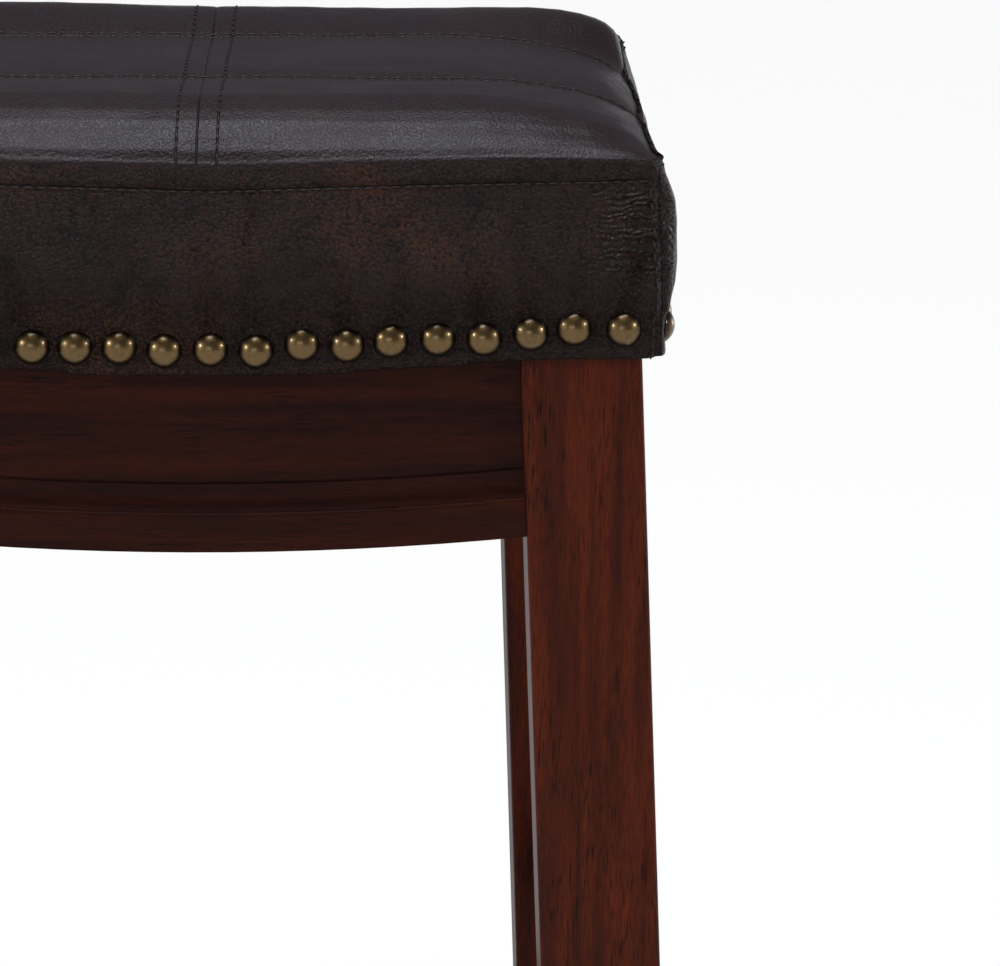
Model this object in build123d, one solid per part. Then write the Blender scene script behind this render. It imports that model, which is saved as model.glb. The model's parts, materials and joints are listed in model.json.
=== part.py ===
from build123d import *
import math
import os

# Saddle stool with a sewn leather cushion on a splayed wooden frame.
# Millimetres and degrees. Seen from the front, +X is to the right. +Y is back, +Z is up.
# The origin is on the floor, under the middle of the seat.

# Cushion outline at the nail line, from corner seam to corner seam
seat_length = 446.0
seat_width = 300.0

# Heights of the cushion
cover_bottom_height = 474.2
band_height = 103.0
crown_height = 31.0
seam_crown = 27.0
saddle_rise = 9.2
rim_rise = 5.5
straight_band = 29.0
side_straight_band = 23.5
swell_level = 66.0
side_swell_level = 61.0

# How far the walls swell beyond the nail line, and how far the rim stands back from it
front_swell = 11.0
side_swell = 13.0
rim_inset = 3.5

# Crown of the cushion
row_seam_offset = 50.0
roll_reach = 33.0
roll_heading = 12.0
end_roll_reach = 44.0
end_crest_margin = 4.0

# Leather cover
leather_thickness = 2.0
soft_gap = 0.3
seam_gap = 0.4
wrap_drop = 9.0
flange_width = 25.0

# Seat board and dust cover
board_thickness = 25.0
dust_cover_thickness = 0.8
dust_cover_gap = 0.1
dust_cover_margin = 3.0

# Dome nails
nail_head_radius = 8.2
nail_head_height = 4.5
nail_pitch = 22.4
nail_line = 14.5
nail_corner_margin = 15.0
nail_shank_width = 1.8
nail_shank_length = 14.0
nail_tip_share = 0.2
nail_hole_gap = 0.1
nail_seat_gap = 0.1
nail_side_count = 8
nail_ring_shares = ((1.0, 0.0), (0.82, 0.6), (0.42, 0.94))

# Frame
seat_gap = 0.3
splay_angle = 2.42
joint_gap = 0.1
leg_width = 60.0
leg_depth = 45.0
leg_setback_x = 9.8
leg_setback_y = 8.5
leg_edge_radius = 3.0
glide_thickness = 4.0
glide_radius = 11.0
glide_chamfer = 1.0
glide_side_count = 16
glide_nail_width = 2.6
glide_nail_length = 16.0

# Moulded aprons
apron_height = 90.0
apron_thickness = 22.0
apron_recess = 2.0
apron_belly_radius = 1617.0
fascia_height = 16.5
nosing_height = 3.5
nosing_depth = 2.2
cove_height = 13.0
cove_depth = 3.4
groove_width = 1.4
groove_depth = 1.2
tenon_length = 18.0
tenon_thickness = 9.0
tenon_height = 44.0
tenon_level = 26.0
tenon_gap = 0.15

# Stretchers
stretcher_height = 38.0
stretcher_thickness = 20.0
stretcher_edge_radius = 5.0
stretcher_tenon_height = 26.0
long_stretcher_bottom = 32.0
side_stretcher_bottom = 120.0

# Corner blocks, their bolts and the seat screws
block_height = 40.0
block_reach = 22.0
bolt_radius = 3.0
bolt_length = 46.0
bolt_head_height = 4.0
bolt_head_radius = 5.8
bolt_level = 16.0
hole_gap = 0.15
screw_radius = 2.2
screw_head_radius = 4.5
screw_head_height = 2.8
screw_offset = 22.0
screw_bite = 16.0
shank_side_count = 8
head_side_count = 6

# Values worked out from the ones above
half_length = seat_length / 2
half_width = seat_width / 2
top_level = cover_bottom_height + saddle_rise
rim_height = cover_bottom_height + band_height
core_inset = leather_thickness + soft_gap
board_bottom_height = cover_bottom_height + core_inset
board_top_height = board_bottom_height + board_thickness
leg_outer_x = half_length - leg_setback_x
leg_outer_y = half_width - leg_setback_y
apron_bottom_height = cover_bottom_height - apron_height
rim_radius = (half_length ** 2 + rim_rise ** 2) / (2 * rim_rise)
# One overrun serves all cuts
overrun = 2 * rim_height


# Curves of the seat


def saddle(x, rise):
    # A hollow arc in the middle runs into a round arc at each end, with equal radii
    quarter = half_length / 2
    radius = (quarter ** 2 + rise ** 2 / 4) / rise
    reach = abs(x)
    if reach <= quarter:
        return radius - math.sqrt(radius ** 2 - reach ** 2)
    return rise - (radius - math.sqrt(radius ** 2 - (half_length - reach) ** 2))


# Chains of lines and arcs in a plane, each stretch a start, a middle or None, and an end


def tangent_middle(start, end, heading):
    # Middle of the arc that leaves start with the heading given
    chord = math.atan2(end[1] - start[1], end[0] - start[0])
    turn = 2 * (chord - heading)
    reach = math.dist(start, end) / (2 * math.cos(turn / 4))
    direction = heading + turn / 4
    return start[0] + reach * math.cos(direction), start[1] + reach * math.sin(direction)


def mirrored(chain):
    return [
        tuple(None if point is None else (-point[0], point[1]) for point in reversed(stretch))
        for stretch in reversed(chain)
    ]


def closed_wire(chain, place):
    edges = []
    for start, middle, end in chain:
        if middle is None:
            edges.append(Line(place(start), place(end)))
        else:
            edges.append(ThreePointArc(place(start), place(middle), place(end)))
    edges.append(Line(place(chain[-1][2]), place(chain[0][0])))
    return Wire(edges)


# Cushion. Its length turns about a far level axis above the seat, which makes the saddle.


def crosswise_chain():
    seam_height = rim_height + seam_crown
    band = (-half_width, cover_bottom_height + straight_band)
    crease = (rim_inset - half_width, rim_height)
    roll_end = (rim_inset + roll_reach - half_width, seam_height)
    valley = (-row_seam_offset, seam_height)
    heading = math.radians(roll_heading)
    # The roll ends with the heading that the pillow starts with, so its arc is made backwards
    roll_middle = tangent_middle(roll_end, crease, heading + math.pi)
    pillow_middle = tangent_middle(roll_end, valley, heading)
    front = [
        ((-half_width, cover_bottom_height - straight_band), None, band),
        (band, (-half_width - front_swell, cover_bottom_height + swell_level), crease),
        (crease, roll_middle, roll_end),
        (roll_end, pillow_middle, valley),
    ]
    middle_pillow = (valley, (0, rim_height + crown_height), (row_seam_offset, seam_height))
    return front + [middle_pillow] + mirrored(front)


def crosswise_form():
    section = closed_wire(crosswise_chain(), lambda p: (0, p[0], p[1]))
    axis = Axis((0, 0, rim_height + rim_radius), (0, 1, 0))
    angle = math.degrees(seat_length / rim_radius)
    return Solid.revolve(Face(section), 2 * angle, axis).rotate(axis, -angle)


def lengthwise_form():
    band = (-half_length, top_level + side_straight_band)
    rim = (rim_inset - half_length, rim_height + rim_rise)
    crest = (end_roll_reach - half_length, rim_height + crown_height + end_crest_margin)
    left = [
        ((-half_length, cover_bottom_height - straight_band), None, band),
        (band, (-half_length - side_swell, top_level + side_swell_level), rim),
        (rim, tangent_middle(crest, rim, math.pi), crest),
    ]
    chain = left + [(crest, None, (-crest[0], crest[1]))] + mirrored(left)
    face = Face(closed_wire(chain, lambda p: (p[0], -seat_width, p[1])))
    return Solid.extrude(face, Vector(0, 2 * seat_width, 0))


def saddle_block(height, rise, flat_height):
    # Everything between a saddle curve and a flat level, above or below it
    reach = 1.2 * half_length
    quarter = half_length / 2

    def point(x):
        return x, 0, height + saddle(x, rise)

    edges = [
        ThreePointArc(point(-reach), point(-half_length), point(-quarter)),
        ThreePointArc(point(-quarter), (0, 0, height), point(quarter)),
        ThreePointArc(point(quarter), point(half_length), point(reach)),
        Line(point(reach), (reach, 0, flat_height)),
        Line((reach, 0, flat_height), (-reach, 0, flat_height)),
        Line((-reach, 0, flat_height), point(-reach)),
    ]
    return Solid.extrude(Face(Wire(edges)), Vector(0, 2 * overrun, 0)).moved(Location((0, -overrun, 0)))


def under_saddle(height, rise):
    return saddle_block(height, rise, cover_bottom_height - overrun)


def over_saddle(height, rise):
    return saddle_block(height, rise, rim_height + overrun)


def cushion_form():
    # The crosswise form gives crown, channels, front and back, and the lengthwise form the two ends
    return (crosswise_form() & lengthwise_form()) - under_saddle(cover_bottom_height, saddle_rise)


def extruded_polygon(points, direction):
    # A prism through the polygon, both ways along the direction
    face = Face(Wire(Polyline(*points, close=True)))
    whole = Vector(*direction) * 2 * overrun
    return Solid.extrude(face, whole).moved(Location(-whole / 2))


def over_wrap(gap):
    # Everything above the saddle that runs below the rim, at the seam of the wrapped edge
    radius = rim_radius + wrap_drop - gap
    plane = Plane((0, -overrun, rim_radius + rim_height), z_dir=(0, 1, 0))
    return Solid.make_cylinder(radius, 2 * overrun).moved(plane.location)


def right_wedge(gap):
    # What lies outside the mitre through the right rim seam
    rim_x = half_length - rim_inset - gap
    rim_z = rim_height + rim_rise
    points = [
        (rim_x - overrun, 0, rim_z - overrun),
        (rim_x + overrun, 0, rim_z + overrun),
        (rim_x + overrun, 0, rim_z - overrun),
    ]
    return extruded_polygon(points, (0, 1, 0))


def top_region(gap):
    # What lies above the wrapped seam and between the two rim seams
    wedge = right_wedge(gap)
    return over_wrap(gap) - wedge - wedge.mirror(Plane.YZ)


def front_region(gap):
    # What lies before the two mitre planes through the front corner seams
    near_x, near_y = half_length - half_width / 2, -half_width / 2 - gap
    far_x, far_y = half_length + half_width / 2, -half_width * 3 / 2 - gap
    points = [(-near_x, near_y, 0), (near_x, near_y, 0), (far_x, far_y, 0), (-far_x, far_y, 0)]
    return extruded_polygon(points, (0, 0, 1))


def box_between(low, high):
    size = [high[axis] - low[axis] for axis in range(3)]
    return Location(tuple(low)) * Solid.make_box(*size)


def core(inset):
    # Space of the board and the foam inside the cover
    x, y = half_length - inset, half_width - inset
    block = box_between((-x, -y, cover_bottom_height), (x, y, rim_height))
    return block - under_saddle(cover_bottom_height + inset, saddle_rise) - over_wrap(leather_thickness - inset)


def cover_parts():
    cushion = cushion_form()
    half_gap = seam_gap / 2
    top_leather = cushion & top_region(half_gap)
    flange_hole = box_between(
        (flange_width - half_length, flange_width - half_width, cover_bottom_height - straight_band),
        (half_length - flange_width, half_width - flange_width, cover_bottom_height + straight_band),
    )
    band_leather = cushion - top_region(-half_gap) - core(leather_thickness) - flange_hole
    parts = {}
    rows = {
        "front": (-overrun, -row_seam_offset - half_gap),
        "middle": (half_gap - row_seam_offset, row_seam_offset - half_gap),
        "back": (row_seam_offset + half_gap, overrun),
    }
    for row, (low_y, high_y) in rows.items():
        patch = top_leather & box_between((half_gap, low_y, 0), (overrun, high_y, rim_height + overrun))
        parts[f"top_patch_{row}_right"] = patch
        parts[f"top_patch_{row}_left"] = patch.mirror(Plane.YZ)
    front = band_leather & front_region(half_gap)
    sides = band_leather - front_region(-half_gap) - front_region(-half_gap).mirror(Plane.XZ)
    right = sides & box_between((0, -overrun, 0), (overrun, overrun, rim_height + overrun))
    parts["boxing_front"] = front - front_nails(nail_hole_gap)
    parts["boxing_back"] = parts["boxing_front"].mirror(Plane.XZ)
    parts["boxing_right"] = right - right_nails(nail_hole_gap)
    parts["boxing_left"] = parts["boxing_right"].mirror(Plane.YZ)
    return parts


# Dome nails


def ring(radius, side_count, level):
    turns = [2 * math.pi * (side + 1 / 2) / side_count for side in range(side_count)]
    return [(radius * math.cos(turn), radius * math.sin(turn), level) for turn in turns]


def faceted_solid(rings):
    # Flat faces between rings of corners, closed at both ends
    outlines = [rings[0], rings[-1]]
    for lower, upper in zip(rings, rings[1:]):
        for near in range(len(lower)):
            far = near - 1
            outlines.append([lower[near], lower[far], upper[far], upper[near]])
    return Solid(Shell([Face(Wire(Polyline(*outline, close=True))) for outline in outlines]))


def nail_shank(gap):
    reach = nail_shank_width * math.sqrt(1 / 2)
    tip = ring(reach * nail_tip_share + gap, 4, -nail_shank_length - gap)
    return faceted_solid([tip, ring(reach + gap, 4, nail_seat_gap)])


def nail():
    rings = [
        ring(nail_head_radius * width_share, nail_side_count, nail_seat_gap + nail_head_height * height_share)
        for width_share, height_share in nail_ring_shares
    ]
    return faceted_solid(rings) + nail_shank(0)


def row_offsets(half_span):
    steps = int((half_span - nail_corner_margin) / nail_pitch)
    return [step * nail_pitch for step in range(-steps, steps + 1)]


def front_nail_places():
    for x in row_offsets(half_length):
        z = cover_bottom_height + saddle(x, saddle_rise) + nail_line
        yield Plane((x, -half_width, z), x_dir=(1, 0, 0), z_dir=(0, -1, 0))


def right_nail_places():
    for y in row_offsets(half_width):
        yield Plane((half_length, y, top_level + nail_line), x_dir=(0, 1, 0), z_dir=(1, 0, 0))


def placed(solid, places):
    return Compound([solid.moved(plane.location) for plane in places])


def front_nails(gap):
    return placed(nail_shank(gap), front_nail_places())


def right_nails(gap):
    return placed(nail_shank(gap), right_nail_places())


def nail_parts():
    front = placed(nail(), front_nail_places())
    right = placed(nail(), right_nail_places())
    return {
        "nails_front": front,
        "nails_back": front.mirror(Plane.XZ),
        "nails_right": right,
        "nails_left": right.mirror(Plane.YZ),
    }


# Splayed frame. Each piece is worked out in the back right quarter and mirrored.


def splay(z):
    return (top_level - z) * math.tan(math.radians(splay_angle))


def leg_inner_x(z):
    return leg_outer_x - leg_width + splay(z)


def leg_inner_y(z):
    return leg_outer_y - leg_depth + splay(z)


def leg_centre(z):
    return leg_outer_x - leg_width / 2 + splay(z), leg_outer_y - leg_depth / 2 + splay(z), z


def between_legs(inner_edge, along_x):
    # The tapering space between two legs, seen square to the pieces that join them
    levels = (0, rim_height)
    outline = [(inner_edge(z) - joint_gap, z) for z in levels]
    outline += [(-offset, z) for offset, z in reversed(outline)]
    if along_x:
        return extruded_polygon([(offset, 0, z) for offset, z in outline], (0, 1, 0))
    return extruded_polygon([(0, offset, z) for offset, z in outline], (1, 0, 0))


def apron_chain(outer_edge, bottom):
    # Moulded face of an apron from its lower edge up, as distances from the stool's middle and heights
    shelf = fascia_height + nosing_height
    panel = shelf + cove_height
    panel_depth = nosing_depth + cove_depth
    top = apron_height + saddle_rise

    def point(depth, height):
        z = bottom + height
        return outer_edge + splay(z) - apron_recess - depth, z

    nosing_middle = point(nosing_depth * (1 - math.sqrt(1 / 2)), fascia_height + nosing_height * math.sqrt(1 / 2))
    cove_middle = point(nosing_depth + cove_depth * math.sqrt(1 / 2), shelf + cove_height * (1 - math.sqrt(1 / 2)))
    return [
        (point(0, 0), None, point(0, fascia_height)),
        (point(0, fascia_height), nosing_middle, point(nosing_depth, shelf)),
        (point(nosing_depth, shelf), cove_middle, point(panel_depth, panel)),
        (point(panel_depth, panel), None, point(panel_depth + groove_depth, panel)),
        (point(panel_depth + groove_depth, panel), None, point(panel_depth + groove_depth, panel + groove_width)),
        (point(panel_depth + groove_depth, panel + groove_width), None, point(panel_depth, panel + groove_width)),
        (point(panel_depth, panel + groove_width), None, point(panel_depth, top)),
        (point(panel_depth, top), None, point(apron_thickness, top)),
        (point(apron_thickness, top), None, point(apron_thickness, 0)),
    ]


def side_apron_bottom():
    end_x = leg_inner_x(apron_bottom_height)
    return apron_bottom_height + apron_belly_radius - math.sqrt(apron_belly_radius ** 2 - end_x ** 2)


def tenon_centre(outer_edge, bottom):
    z = bottom + fascia_height + nosing_height + tenon_level
    depth = (nosing_depth + cove_depth + apron_thickness) / 2
    return outer_edge + splay(z) - apron_recess - depth, z


def centred_box(centre, size):
    low = [middle - extent / 2 for middle, extent in zip(centre, size)]
    high = [middle + extent / 2 for middle, extent in zip(centre, size)]
    return box_between(low, high)


def tenon_bar(offset, z, height, along_x, gap):
    # One bar through the whole piece; its two ends are the tenons
    inner_edge = leg_inner_x(z) if along_x else leg_inner_y(z)
    length = 2 * (inner_edge + tenon_length + gap)
    width = tenon_thickness + 2 * gap
    size = (length, width, height + 2 * gap) if along_x else (width, length, height + 2 * gap)
    centre = (0, offset, z) if along_x else (offset, 0, z)
    return centred_box(centre, size)


def long_apron_tenon(gap):
    y, z = tenon_centre(leg_outer_y, apron_bottom_height)
    return tenon_bar(y, z, tenon_height, True, gap)


def side_apron_tenon(gap):
    x, z = tenon_centre(leg_outer_x, side_apron_bottom())
    return tenon_bar(x, z, tenon_height, False, gap)


def long_stretcher_tenon(gap):
    z = long_stretcher_bottom + stretcher_height / 2
    return tenon_bar(leg_centre(z)[1], z, stretcher_tenon_height, True, gap)


def side_stretcher_tenon(gap):
    z = side_stretcher_bottom + stretcher_height / 2
    return tenon_bar(leg_centre(z)[0], z, stretcher_tenon_height, False, gap)


def long_apron():
    # The back apron: its moulding turns about a far axis above it, which gives the belly
    wire = closed_wire(apron_chain(leg_outer_y, apron_bottom_height), lambda p: (0, p[0], p[1]))
    axis = Axis((0, 0, apron_bottom_height + apron_belly_radius), (0, 1, 0))
    half_angle = math.degrees(math.asin(half_length / apron_belly_radius))
    swept = Solid.revolve(Face(wire), 2 * half_angle, axis)
    board = swept.rotate(axis, -half_angle) & between_legs(leg_inner_x, True)
    board -= over_saddle(cover_bottom_height - seat_gap, saddle_rise)
    return board + long_apron_tenon(0)


def side_apron():
    wire = closed_wire(apron_chain(leg_outer_x, side_apron_bottom()), lambda p: (p[0], -half_width, p[1]))
    board = Solid.extrude(Face(wire), Vector(0, seat_width, 0)) & between_legs(leg_inner_y, False)
    board -= over_saddle(cover_bottom_height - seat_gap, saddle_rise)
    return board + side_apron_tenon(0)


def stretcher(offset, bottom, along_x, tenon):
    z = bottom + stretcher_height / 2
    if along_x:
        body = centred_box((0, offset, z), (seat_length, stretcher_thickness, stretcher_height))
    else:
        body = centred_box((offset, 0, z), (stretcher_thickness, seat_width, stretcher_height))
    axis = Axis.X if along_x else Axis.Y
    upper_edges = body.edges().filter_by(axis).group_by(Axis.Z)[-1]
    body = body.fillet(stretcher_edge_radius, upper_edges)
    return (body & between_legs(leg_inner_x if along_x else leg_inner_y, along_x)) + tenon


def leg():
    bottom_z, top_z = glide_thickness, top_level + saddle_rise
    section = Rectangle(leg_width, leg_depth).face().moved(Location(leg_centre(bottom_z)))
    post = Solid.extrude(section, Vector(*leg_centre(top_z)) - Vector(*leg_centre(bottom_z)))
    long_edges = post.edges().sort_by(SortBy.LENGTH)[-4:]
    post = post.fillet(leg_edge_radius, long_edges)
    post -= over_saddle(cover_bottom_height - seat_gap, saddle_rise)
    for tenon in (long_apron_tenon, side_apron_tenon, long_stretcher_tenon, side_stretcher_tenon):
        post -= tenon(tenon_gap)
    return post - glide_nail(hole_gap) - corner_bolt(hole_gap)


# Corner blocks and their fastenings


def block_bottom():
    return cover_bottom_height - block_height


def block_face():
    # Sum of x and y on the block's long face, which faces the middle of the stool
    z = block_bottom() + bolt_level
    return leg_inner_x(z) + leg_inner_y(z) - block_reach * math.sqrt(2)


def between_blocks():
    # The upright four-sided space inside the long faces of the blocks
    face = block_face()
    return extruded_polygon([(face, 0, 0), (0, face, 0), (-face, 0, 0), (0, -face, 0)], (0, 0, 1))


def corner_block():
    # Leans with the leg and the aprons on four sides. The long face stands upright.
    bottom_z, top_z = block_bottom(), top_level + saddle_rise
    back = leg_outer_y + splay(bottom_z) - apron_recess - apron_thickness - joint_gap
    side = leg_outer_x + splay(bottom_z) - apron_recess - apron_thickness - joint_gap
    leg_x = leg_inner_x(bottom_z) - joint_gap
    leg_y = leg_inner_y(bottom_z) - joint_gap
    points = [(0, 0), (0, back), (leg_x, back), (leg_x, leg_y), (side, leg_y), (side, 0)]
    outline = Face(Wire(Polyline(*[(x, y, bottom_z) for x, y in points], close=True)))
    lean = splay(top_z) - splay(bottom_z)
    block = Solid.extrude(outline, Vector(lean, lean, top_z - bottom_z))
    block -= between_blocks()
    block -= over_saddle(cover_bottom_height - seat_gap, saddle_rise)
    return block - corner_bolt(hole_gap) - seat_screw(hole_gap)


def bolt_plane():
    z = block_bottom() + bolt_level
    slant = (leg_inner_x(z) - leg_inner_y(z)) / 2
    return Plane((block_face() / 2 + slant, block_face() / 2 - slant, z), x_dir=(0, 0, 1), z_dir=(-1, -1, 0))


def prism(radius, side_count, bottom, top):
    return faceted_solid([ring(radius, side_count, bottom), ring(radius, side_count, top)])


def corner_bolt(gap):
    shank = prism(bolt_radius + gap, shank_side_count, -bolt_length - gap, bolt_head_height)
    if gap:
        return shank.moved(bolt_plane().location)
    return (shank + prism(bolt_head_radius, head_side_count, 0, bolt_head_height)).moved(bolt_plane().location)


def seat_screw_centre():
    z = block_bottom()
    side = leg_outer_x + splay(z) - apron_recess - apron_thickness
    return (leg_inner_x(z) + side) / 2, leg_inner_y(z) - screw_offset, z


def seat_screw(gap):
    x, y, z = seat_screw_centre()
    length = board_bottom_height + saddle(x, saddle_rise) + screw_bite - z + gap
    shank = prism(screw_radius + gap, shank_side_count, -screw_head_height, length)
    if gap:
        return shank.moved(Location((x, y, z)))
    return (shank + prism(screw_head_radius, head_side_count, -screw_head_height, 0)).moved(Location((x, y, z)))


def glide_nail(gap):
    x, y, z = leg_centre(glide_thickness)
    width = glide_nail_width + 2 * gap
    return centred_box((x, y, z), (width, width, 2 * (glide_nail_length + gap)))


def glide():
    x, y, _ = leg_centre(glide_thickness)
    pad = faceted_solid([
        ring(glide_radius - glide_chamfer, glide_side_count, 0),
        ring(glide_radius, glide_side_count, glide_chamfer),
        ring(glide_radius, glide_side_count, glide_thickness),
    ])
    shank = glide_nail(0) & box_between((0, 0, glide_thickness / 2), (overrun, overrun, overrun))
    return pad.moved(Location((x, y, 0))) + shank


# Whole seat and whole frame


def four_corners(solid):
    right = [solid.mirror(Plane.XZ), solid]
    names = ("front_right", "back_right", "front_left", "back_left")
    return dict(zip(names, right + [piece.mirror(Plane.YZ) for piece in right]))


def core_parts():
    inner = core(core_inset)
    board = inner & under_saddle(board_top_height, saddle_rise)
    foam = inner - under_saddle(board_top_height + soft_gap, saddle_rise)
    shanks = [front_nails(nail_hole_gap), right_nails(nail_hole_gap)]
    shanks += [shanks[0].mirror(Plane.XZ), shanks[1].mirror(Plane.YZ)]
    for group in shanks:
        board -= group
    for screw in four_corners(seat_screw(hole_gap)).values():
        board -= screw
    return {"seat_board": board, "seat_foam": foam}


def dust_cover():
    # Runs between the corner blocks
    top = board_bottom_height - dust_cover_gap
    slab = under_saddle(top, saddle_rise) - under_saddle(top - dust_cover_thickness, saddle_rise)
    half_x = half_length - flange_width - dust_cover_margin
    half_y = half_width - flange_width - dust_cover_margin
    return slab & box_between((-half_x, -half_y, 0), (half_x, half_y, rim_height)) & between_blocks()


def frame_parts():
    parts = {}
    for corner, solid in four_corners(leg()).items():
        parts[f"leg_{corner}"] = solid
    for corner, solid in four_corners(corner_block()).items():
        parts[f"corner_block_{corner}"] = solid
    for corner, solid in four_corners(glide()).items():
        parts[f"glide_{corner}"] = solid
    z = long_stretcher_bottom + stretcher_height / 2
    long_stretcher = stretcher(leg_centre(z)[1], long_stretcher_bottom, True, long_stretcher_tenon(0))
    z = side_stretcher_bottom + stretcher_height / 2
    side_stretcher = stretcher(leg_centre(z)[0], side_stretcher_bottom, False, side_stretcher_tenon(0))
    for name, solid in (("apron", long_apron()), ("stretcher", long_stretcher)):
        parts[f"{name}_back"] = solid
        parts[f"{name}_front"] = solid.mirror(Plane.XZ)
    for name, solid in (("apron", side_apron()), ("stretcher", side_stretcher)):
        parts[f"{name}_right"] = solid
        parts[f"{name}_left"] = solid.mirror(Plane.YZ)
    for name, solid in (("corner_bolts", corner_bolt(0)), ("seat_screws", seat_screw(0))):
        parts[name] = Compound(list(four_corners(solid).values()))
    return parts


os.makedirs("parts", exist_ok=True)
all_parts = cover_parts() | core_parts() | {"dust_cover": dust_cover()} | nail_parts() | frame_parts()
for node, shape in all_parts.items():
    export_step(shape, f"parts/{node}.step")
    size = shape.bounding_box().size
    print(f"{node}: {size.X:.1f} x {size.Y:.1f} x {size.Z:.1f} mm, {len(shape.solids())} solids")
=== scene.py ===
import json
import math
import random

import bpy
import numpy as np
from mathutils import Matrix, Vector, noise
from mathutils.bvhtree import BVHTree

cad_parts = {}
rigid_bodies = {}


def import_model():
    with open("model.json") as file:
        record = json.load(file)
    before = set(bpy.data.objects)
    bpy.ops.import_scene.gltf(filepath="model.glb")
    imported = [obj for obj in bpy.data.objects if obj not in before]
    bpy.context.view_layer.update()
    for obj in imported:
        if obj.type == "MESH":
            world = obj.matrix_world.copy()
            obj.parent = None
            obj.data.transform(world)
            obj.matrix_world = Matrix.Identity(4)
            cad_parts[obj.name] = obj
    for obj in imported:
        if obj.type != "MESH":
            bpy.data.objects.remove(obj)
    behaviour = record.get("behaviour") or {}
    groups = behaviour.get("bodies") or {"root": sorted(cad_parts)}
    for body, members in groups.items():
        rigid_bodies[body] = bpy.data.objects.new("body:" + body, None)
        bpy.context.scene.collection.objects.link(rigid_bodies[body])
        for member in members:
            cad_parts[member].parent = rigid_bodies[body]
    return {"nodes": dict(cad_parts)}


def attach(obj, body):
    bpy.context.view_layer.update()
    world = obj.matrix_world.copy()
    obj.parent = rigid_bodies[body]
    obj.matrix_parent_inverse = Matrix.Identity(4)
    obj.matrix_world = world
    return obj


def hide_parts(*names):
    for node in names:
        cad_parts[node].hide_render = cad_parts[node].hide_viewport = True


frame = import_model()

nodes = frame["nodes"]
scene = bpy.context.scene
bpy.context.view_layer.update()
mm = 0.001
print("frame loaded")


# Helpers

def linearColour(hexColour):
    channels = [int(hexColour[i:i + 2], 16) / 255 for i in (0, 2, 4)]
    return [c / 12.92 if c <= 0.04045 else ((c + 0.055) / 1.055) ** 2.4 for c in channels] + [1.0]


def setInputs(tree, node, inputs):
    # each input is given a value, an output, or a node for its first output
    for name, value in inputs.items():
        if isinstance(value, bpy.types.Node):
            value = value.outputs[0]
        if isinstance(value, bpy.types.NodeSocket):
            tree.links.new(value, node.inputs[name])
        else:
            node.inputs[name].default_value = value


def addNode(tree, kind, inputs=None, **settings):
    node = tree.nodes.new("ShaderNode" + kind)
    for name, value in settings.items():
        setattr(node, name, value)
    setInputs(tree, node, inputs or {})
    return node


def newMaterial(name):
    # an empty material with a Principled shader, for the tree to be drawn into
    material = bpy.data.materials.new(name)
    material.use_nodes = True
    return material, material.node_tree, material.node_tree.nodes["Principled BSDF"]


def clearSelection():
    if bpy.context.mode != "OBJECT":
        bpy.ops.object.mode_set(mode="OBJECT")
    bpy.ops.object.select_all(action="DESELECT")


def makeActive(obj):
    clearSelection()
    obj.select_set(True)
    bpy.context.view_layer.objects.active = obj
    return obj


def applyModifier(obj, kind, **settings):
    makeActive(obj)
    modifier = obj.modifiers.new(kind.lower(), kind)
    for name, value in settings.items():
        setattr(modifier, name, value)
    bpy.ops.object.modifier_apply(modifier=modifier.name)


def applyPlace(obj):
    makeActive(obj)
    bpy.ops.object.transform_apply(location=True, rotation=True, scale=True)


def pick(obj, kind, chosen):
    # selects the faces or points that are chosen, and ends in edit mode
    makeActive(obj)
    bpy.ops.object.mode_set(mode="EDIT")
    bpy.ops.mesh.select_mode(type=kind)
    bpy.ops.mesh.select_all(action="DESELECT")
    bpy.ops.object.mode_set(mode="OBJECT")
    parts = obj.data.polygons if kind == "FACE" else obj.data.vertices
    parts.foreach_set("select", np.array(chosen, dtype=bool))
    bpy.ops.object.mode_set(mode="EDIT")


def joinCopies(name, meshes, places):
    # copies of the meshes, each at its place, joined as one piece with that place in its mesh
    clearSelection()
    for mesh, place in zip(meshes, places):
        copy = bpy.data.objects.new(name, mesh.copy())
        copy.matrix_world = place
        bpy.context.collection.objects.link(copy)
        copy.select_set(True)
        bpy.context.view_layer.objects.active = copy
    bpy.ops.object.join()
    joined = bpy.context.view_layer.objects.active
    bpy.ops.object.transform_apply(location=True, rotation=True, scale=True)
    joined.name = name
    return joined


def remove(obj):
    bpy.data.objects.remove(obj, do_unlink=True)


def readPoints(obj, what="co"):
    # what is co for places or normal for directions
    flat = np.empty(len(obj.data.vertices) * 3)
    obj.data.vertices.foreach_get(what, flat)
    return flat.reshape(-1, 3)


def writePoints(obj, points):
    obj.data.vertices.foreach_set("co", points.astype(np.float32).ravel())
    obj.data.update()


def paintPoints(obj, name, values):
    # a number on every point, for the materials to read
    layer = obj.data.attributes.new(name, "FLOAT", "POINT")
    layer.data.foreach_set("value", values.astype(np.float32))


def ease(low, high, value):
    t = np.clip((value - low) / (high - low), 0, 1)
    return t * t * (3 - 2 * t)


def bell(distance, width):
    return np.exp(-(distance / width) ** 2)


# Camera, floor and lights

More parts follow.
